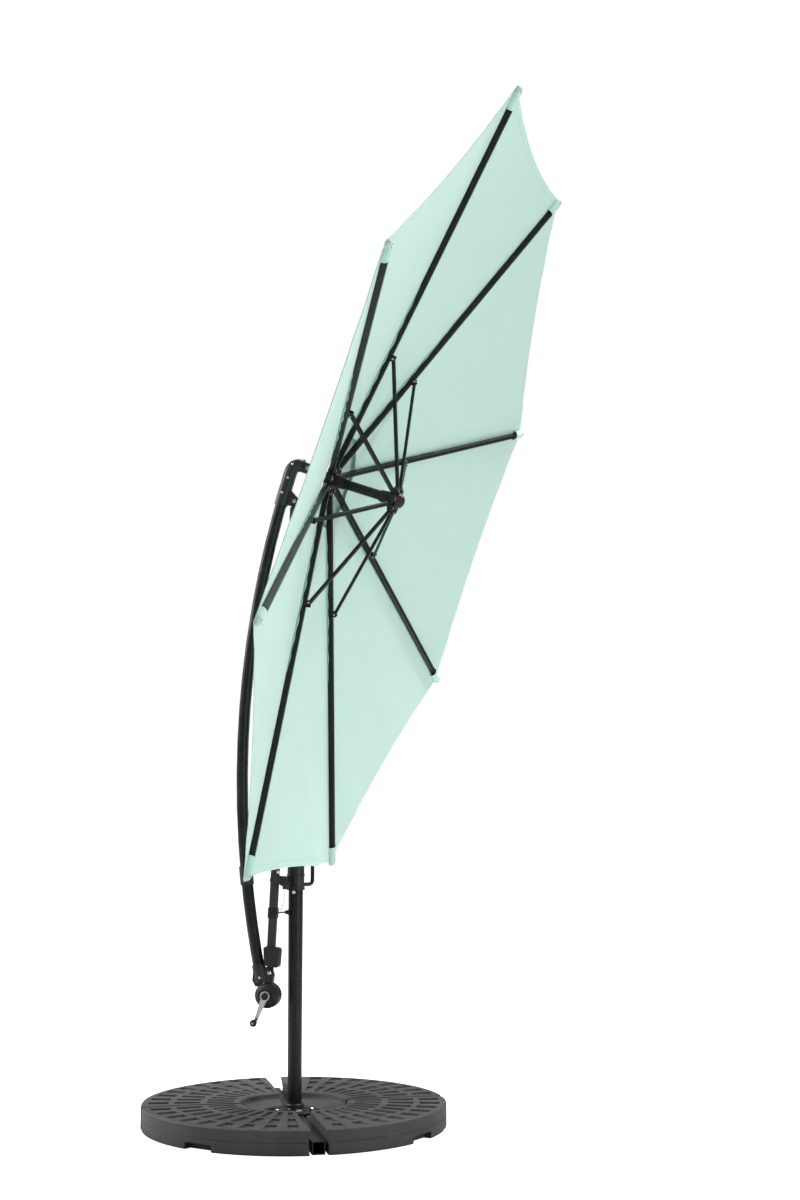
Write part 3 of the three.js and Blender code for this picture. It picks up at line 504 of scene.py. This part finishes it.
# A point of the cloth: across runs from -0.5 to 0.5 between the mid-gore lines either side of
# the rib, and reach from 0 at the hub to 1 at the hem.
def cloth_place(rib, across, reach, outer, lift):
    gore, share = (rib, across) if across >= 0 else ((rib - 1) % 8, across + 1.0)
    arch = 4 * share * (1 - share)
    hem = outer * (1 - hem_curve * arch)
    radius = reach * hem
    flat = rays[gore] * (1 - share) + rays[(gore + 1) % 8] * share
    height = lift - (radius - ring_radius) * math.tan(rib_slope)
    if outer == tip_radius:
        if gore == bulge_gore:
            along = max(0.0, (radius - bulge_from) / (hem - bulge_from))
            tent = min(share / bulge_peak, (1 - share) / (1 - bulge_peak))
            height -= bulge_depth * tent ** 1.15 * along ** 1.3
        near_hub = max(0.0, 1 - abs(radius - hub_slack_at) / hub_slack_reach)
        near_tip = max(0.0, 1 - (tip_radius - radius) / tip_slack_reach)
        loose = hub_slack * near_hub * math.sin(2 * math.pi * hub_waves * share + phases[gore])
        pulled = tip_slack * near_tip * math.sin(2 * math.pi * tip_waves * share + phases[gore])
        height += (loose * arch + pulled * arch * (1 - arch) * 2 - hem_sag * arch * near_tip)
    return hub + flat * radius + up_axis * height, radius, share, hem


def cloth_strip(name, rib, inner, outer, lift, rows, node):
    half = [0.0, 0.008, 0.014, 0.022, 0.036, 0.055, 0.08, 0.11]
    half += [0.15 + 0.05 * step for step in range(7)] + [0.4998]
    columns = [-share for share in reversed(half[1:])] + half
    vertices, edge_uv, lay_uv = [], [], []
    last = 1.0 - hem_width / outer
    for side in (0, 1):
        for row in range(rows + 1):
            share_row = row / (rows - 2) if row <= rows - 2 else 1.0
            for across in columns:
                start = inner / outer
                reach = start + (last - start) * share_row
                thick = cloth_wall
                if row > rows - 2:
                    reach = last + hem_step / outer if row == rows - 1 else 1.0
                    thick = hem_wall
                place, radius, share, hem = cloth_place(rib, across, reach, outer, lift)
                if side == 0:
                    place = place + up_axis * (thick - cloth_wall)
                else:
                    place = place - up_axis * cloth_wall
                vertices.append(place)
                offset = radius * abs(across) * math.sin(math.pi / 4)
                down_rib = radius * (1 - abs(across) * (1 - math.cos(math.pi / 4)))
                lay_uv.append((math.copysign(offset, across), down_rib))
                edge_uv.append((hem - radius, offset + radius * 0.01))
    wide = len(columns)

    def at(side, row, column):
        return (side * (rows + 1) + row) * wide + column

    faces = []
    for row in range(rows):
        for column in range(wide - 1):
            corners = ((row, column), (row + 1, column), (row + 1, column + 1), (row, column + 1))
            faces.append(tuple(at(0, *corner) for corner in corners))
            faces.append(tuple(at(1, *corner) for corner in (corners[0], corners[3], corners[2], corners[1])))
    for row in (0, rows):
        for column in range(wide - 1):
            quad = (at(0, row, column), at(0, row, column + 1), at(1, row, column + 1), at(1, row, column))
            faces.append(quad if row == 0 else quad[::-1])
    for column in (0, wide - 1):
        for row in range(rows):
            quad = (at(0, row, column), at(1, row, column), at(1, row + 1, column), at(0, row + 1, column))
            faces.append(quad if column == 0 else quad[::-1])
    strip = new_piece(name, vertices, faces, mint, f"rib_{rib + 1}")
    shape = bmesh.new()
    shape.from_mesh(strip.data)
    bmesh.ops.recalc_face_normals(shape, faces=shape.faces)
    for face in shape.faces:
        face.smooth = True
    shape.to_mesh(strip.data)
    shape.free()
    for map_name, values in (("lay", lay_uv), ("edge", edge_uv)):
        layer = strip.data.uv_layers.new(name=map_name)
        for loop in strip.data.loops:
            layer.data[loop.index].uv = values[loop.vertex_index]
    sharpen_edges(strip, wide, rows)
    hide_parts(node)
    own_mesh(strip)
    return strip


def sharpen_edges(strip, wide, rows):
    mesh = strip.data
    outer_side = wide * (rows + 1)
    sharp = mesh.attributes.new("sharp_edge", "BOOLEAN", "EDGE")
    for edge in mesh.edges:
        (first, second) = edge.vertices
        same_side = (first < outer_side) == (second < outer_side)
        on_border = edge_is_border(first % outer_side, second % outer_side, wide, rows)
        sharp.data[edge.index].value = not same_side or on_border


def edge_is_border(first, second, wide, rows):
    rows_of = (first // wide, second // wide)
    columns_of = (first % wide, second % wide)
    on_row = rows_of[0] == rows_of[1] and rows_of[0] in (0, rows)
    return on_row or (columns_of[0] == columns_of[1] and columns_of[0] in (0, wide - 1))


# ---- rib pockets and rib tunnels ----
# A gathered canvas pocket holds each rib's end, and a loose-edged canvas strip
# runs along both sides of each rib near the hub, where the rib is tied to the cloth.
rib_length = 1.368
(pocket_overlap, pocket_length) = (0.066, 0.078)
(pocket_half, pocket_depth, pocket_closes_at) = (0.0185, 0.0225, 0.72)
(tunnel_from, tunnel_pitch, tunnel_wall, pocket_wall) = (0.150, 0.0075, 0.0005, 0.0011)
(canopy_inner, canopy_rows, vent_inner, vent_outer, vent_rows) = (0.175, 44, 0.068, 0.330, 12)


def rib_frame(rib):
    along = rays[rib] * math.cos(rib_slope) - up_axis * math.sin(rib_slope)
    outwards = rays[rib] * math.sin(rib_slope) + up_axis * math.cos(rib_slope)
    return ring[rib], along, up_axis.cross(rays[rib]), outwards


def sewn_trim(name, rib, grid, pitch, wall):
    rows, wide = len(grid), len(grid[0])
    vertices = [place for row in grid for place in row]
    faces = []
    for row in range(rows - 1):
        for column in range(wide - 1):
            first = row * wide + column
            faces.append((first, first + 1, first + wide + 1, first + wide))
    trim = new_piece(name, vertices, faces, mint_trim_painted_shade, f"rib_{rib + 1}")
    layer = trim.data.uv_layers.new(name="lay")
    for loop in trim.data.loops:
        (row, column) = divmod(loop.vertex_index, wide)
        layer.data[loop.index].uv = (pitch[0] * column, pitch[1] * row)
    thicken = trim.modifiers.new("canvas", "SOLIDIFY")
    thicken.thickness = wall
    thicken.offset = 0.0
    thick = bpy.data.meshes.new_from_object(trim.evaluated_get(bpy.context.evaluated_depsgraph_get()))
    trim.modifiers.clear()
    trim.data = thick
    trim.data.shade_smooth()
    return trim


def rib_pocket(rib):
    origin, along, sideways, outwards = rib_frame(rib)
    grid = []
    for step in range(13):
        share = step / 12
        reach = rib_length - pocket_overlap + pocket_length * share
        rounded = max(0.0, (share - pocket_closes_at) / 0.28)
        closing = math.sqrt(max(0.0, 1 - rounded ** 2)) * 0.85 + 0.15
        half = (pocket_half - 0.005 * share) * closing
        depth = (pocket_depth - 0.002 * share) * closing
        row = []
        for turn in range(19):
            angle = math.pi * turn / 18
            crease = 1 + 0.07 * math.sin(9 * angle + 5 * share + phases[rib]) * math.sin(angle) * share
            side = half * math.cos(angle) * crease
            down = 0.0100 - depth * math.sin(angle) ** 0.7 * crease
            row.append(origin + along * reach + sideways * side + outwards * down)
        grid.append(row)
    return sewn_trim(f"rib_pocket_{rib + 1}", rib, grid, (0.003, 0.006), pocket_wall)


def rib_tunnel(rib, hand, side_name):
    origin, along, sideways, outwards = rib_frame(rib)
    grid = []
    for step in range(73):
        reach = tunnel_from + tunnel_pitch * step
        fade = math.sin(math.pi * step / 72) ** 0.4
        wave = math.sin(reach * 95 + phases[rib] + hand) + 0.6 * math.sin(reach * 41 + 2 * phases[rib])
        row = []
        for column in range(5):
            share = column / 4
            side = 0.0076 + (0.0060 + 0.0017 * wave) * share * fade
            drop = 0.0093 - (0.0062 + 0.0018 * wave) * share ** 1.6 * fade
            row.append(origin + along * reach + sideways * (hand * side) + outwards * drop)
        grid.append(row)
    return sewn_trim(f"rib_tunnel_{rib + 1}_{side_name}", rib, grid, (0.004, tunnel_pitch), tunnel_wall)


for rib in range(8):
    trims = [rib_pocket(rib), rib_tunnel(rib, 1, "left"), rib_tunnel(rib, -1, "right")]
    name = f"canopy_strip_{rib + 1}"
    panel = cloth_strip(name, rib, canopy_inner, tip_radius, cloth_lift, canopy_rows, "canopy")
    name = f"vent_strip_{rib + 1}"
    vent = cloth_strip(name, rib, vent_inner, vent_outer, vent_lift, vent_rows, "vent_cap")

# ---- rivets ----
# Small domed rivets of white metal fix the castings to the tubes, close the two hubs and pin
# each stretcher to its rib. A white nylon one sits on the head above the pivot.
rivet_tree = bpy.data.node_groups.new("rivet_row", "GeometryNodeTree")
rivet_tree.interface.new_socket("Geometry", in_out="INPUT", socket_type="NodeSocketGeometry")
rivet_tree.interface.new_socket("Head Radius", in_out="INPUT", socket_type="NodeSocketFloat")
rivet_tree.interface.new_socket("Head Height", in_out="INPUT", socket_type="NodeSocketFloat")
rivet_tree.interface.new_socket("Finish", in_out="INPUT", socket_type="NodeSocketMaterial")
rivet_tree.interface.new_socket("Geometry", in_out="OUTPUT", socket_type="NodeSocketGeometry")
rivet_in = rivet_tree.nodes.new("NodeGroupInput")
rivet_out = rivet_tree.nodes.new("NodeGroupOutput")
dome = rivet_tree.nodes.new("GeometryNodeMeshUVSphere")
dome.inputs["Segments"].default_value = 16
dome.inputs["Rings"].default_value = 8
dome_size = rivet_tree.nodes.new("ShaderNodeCombineXYZ")
press = rivet_tree.nodes.new("GeometryNodeTransform")
place_heads = rivet_tree.nodes.new("GeometryNodeInstanceOnPoints")
face_out = rivet_tree.nodes.new("FunctionNodeAlignEulerToVector")
face_out.axis = "Z"
outward = rivet_tree.nodes.new("GeometryNodeInputNamedAttribute")
outward.data_type = "FLOAT_VECTOR"
outward.inputs["Name"].default_value = "outward"
make_real = rivet_tree.nodes.new("GeometryNodeRealizeInstances")
set_finish = rivet_tree.nodes.new("GeometryNodeSetMaterial")
for source, target in (
    (rivet_in.outputs["Head Radius"], dome_size.inputs["X"]),
    (rivet_in.outputs["Head Radius"], dome_size.inputs["Y"]),
    (rivet_in.outputs["Head Height"], dome_size.inputs["Z"]),
    (dome.outputs["Mesh"], press.inputs["Geometry"]),
    (dome_size.outputs[0], press.inputs["Scale"]),
    (rivet_in.outputs["Geometry"], place_heads.inputs["Points"]),
    (press.outputs["Geometry"], place_heads.inputs["Instance"]),
    (outward.outputs["Attribute"], face_out.inputs["Vector"]),
    (face_out.outputs["Rotation"], place_heads.inputs["Rotation"]),
    (place_heads.outputs["Instances"], make_real.inputs["Geometry"]),
    (make_real.outputs["Geometry"], set_finish.inputs["Geometry"]),
    (rivet_in.outputs["Finish"], set_finish.inputs["Material"]),
    (set_finish.outputs["Geometry"], rivet_out.inputs["Geometry"]),
):
    rivet_tree.links.new(source, target)


def rivets(name, body, spots, radius, height, finish):
    mesh = bpy.data.meshes.new(name)
    mesh.from_pydata([tuple(place) for place, _ in spots], [], [])
    way = mesh.attributes.new("outward", "FLOAT_VECTOR", "POINT")
    for index, (_, direction) in enumerate(spots):
        way.data[index].vector = direction
    row = bpy.data.objects.new(name, mesh)
    scene.collection.objects.link(row)
    made = row.modifiers.new("rivets", "NODES")
    made.node_group = rivet_tree
    wanted = {"Head Radius": radius, "Head Height": height, "Finish": finish}
    for item in rivet_tree.interface.items_tree:
        if item.in_out == "INPUT" and item.name in wanted:
            made[item.identifier] = wanted[item.name]
    heads = bpy.data.meshes.new_from_object(row.evaluated_get(bpy.context.evaluated_depsgraph_get()))
    row.modifiers.clear()
    row.data = heads
    heads.shade_smooth()
    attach(row, body)


front = Vector((0.0, -1.0, 0.0))
arm_plane = -0.058
bracket_face = arm_plane - 0.0222
arm_places = ((-0.1484, 0.8167), (0.0012, 2.1861), (-0.0149, 2.1399), (-0.0996, 0.4800), (-0.0350, 2.0900))
arm_spots = [((x, bracket_face, z), front) for x, z in arm_places]
rivets("arm_rivets", "arm", arm_spots, 0.0042, 0.0016, zinc)
(pin_reach, pin_drop, cheek_side) = (0.4325, 0.016, 0.0086)
runner_middle = hub - up_axis * 2 * (pin_reach * math.sin(rib_slope) + pin_drop * math.cos(rib_slope))
crown_spots, runner_spots = [], []
for rib in range(8):
    origin, along, sideways, outwards = rib_frame(rib)
    pin = origin + along * pin_reach - outwards * pin_drop
    spots = [(pin + sideways * cheek_side, sideways), (pin - sideways * cheek_side, -sideways)]
    rivets(f"rib_rivets_{rib + 1}", f"rib_{rib + 1}", spots, 0.0036, 0.0014, zinc)
    between = (rays[rib] + rays[(rib + 1) % 8]).normalized()
    crown_spots.append((hub + between * 0.0440 - up_axis * 0.0143, -up_axis))
    runner_spots.append((runner_middle + between * 0.0420 - up_axis * 0.0117, -up_axis))
rivets("crown_rivets", "crown", crown_spots, 0.0034, 0.0014, zinc)
rivets("runner_rivets", "runner", runner_spots, 0.0034, 0.0014, zinc)
head_spots = [((-0.0405, arm_plane - 0.0160, 0.8230), front)]
rivets("head_rivet", "head", head_spots, 0.0050, 0.0020, nylon)

# ---- latch wire ----
# A thin bright spring wire runs from the pivot's saddle down beside the strut to the clip.
wire_path = [(-0.034, -0.046, 0.783), (-0.0215, -0.050, 0.772), (-0.0245, -0.050, 0.748)]
wire_path += [(-0.0290, -0.050, 0.722), (-0.0330, -0.050, 0.705), (-0.0400, -0.0455, 0.699)]
wire_path += [(-0.0465, -0.0440, 0.697)]
wire_curve = bpy.data.curves.new("latch_wire", "CURVE")
wire_curve.dimensions = "3D"
wire_curve.bevel_depth = 0.0009
wire_curve.bevel_resolution = 3
wire_curve.use_fill_caps = True
wire_line = wire_curve.splines.new("NURBS")
wire_line.points.add(len(wire_path) - 1)
for point, place in zip(wire_line.points, wire_path):
    point.co = (*place, 1.0)
wire_line.order_u = 3
wire_line.use_endpoint_u = True
latch_wire = bpy.data.objects.new("latch_wire", wire_curve)
scene.collection.objects.link(latch_wire)
wire_mesh = bpy.data.meshes.new_from_object(latch_wire.evaluated_get(bpy.context.evaluated_depsgraph_get()))
bpy.data.objects.remove(latch_wire)
latch_wire = bpy.data.objects.new("latch_wire", wire_mesh)
scene.collection.objects.link(latch_wire)
wire_mesh.materials.clear()
wire_mesh.materials.append(zinc)
wire_mesh.shade_smooth()
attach(latch_wire, "arm")
